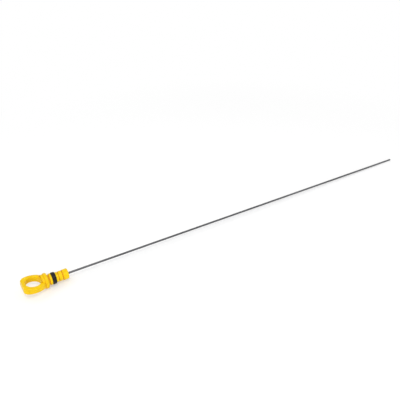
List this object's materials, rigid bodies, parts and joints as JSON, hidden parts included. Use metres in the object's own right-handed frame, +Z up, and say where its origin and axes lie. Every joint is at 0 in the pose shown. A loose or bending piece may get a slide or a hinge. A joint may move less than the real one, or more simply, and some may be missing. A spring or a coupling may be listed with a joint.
{
  "type": "engine oil dipstick",
  "caption": "Wire oil dipstick: moulded finger-loop handle with stop flange and ribbed stem, rubber tube seal, and a long straight steel wire with level notches near its tip.",
  "frame": {"origin": "on the stick's axis, at the flange's stop face, which meets the rim of the dipstick tube", "axes": "+X towards the tip, +Z up with the stick lying on a flat surface; the flange and the tip both touch the surface, so the wire dips 0.76 degrees below +X and the handle, which sits 0.5 degrees askew on the wire, dips 1.26 degrees"},
  "size_m": [0.6499, 0.028, 0.0197],
  "materials": {
    "handle_plastic": "moulded, satin gloss",
    "seal_rubber": "moulded, satin",
    "wire_steel": "drawn, bare"
  },
  "bodies": {
    "root": {"handle": "handle_plastic", "seal": "seal_rubber", "gauge_wire": "wire_steel"}
  },
  "joints": []
}
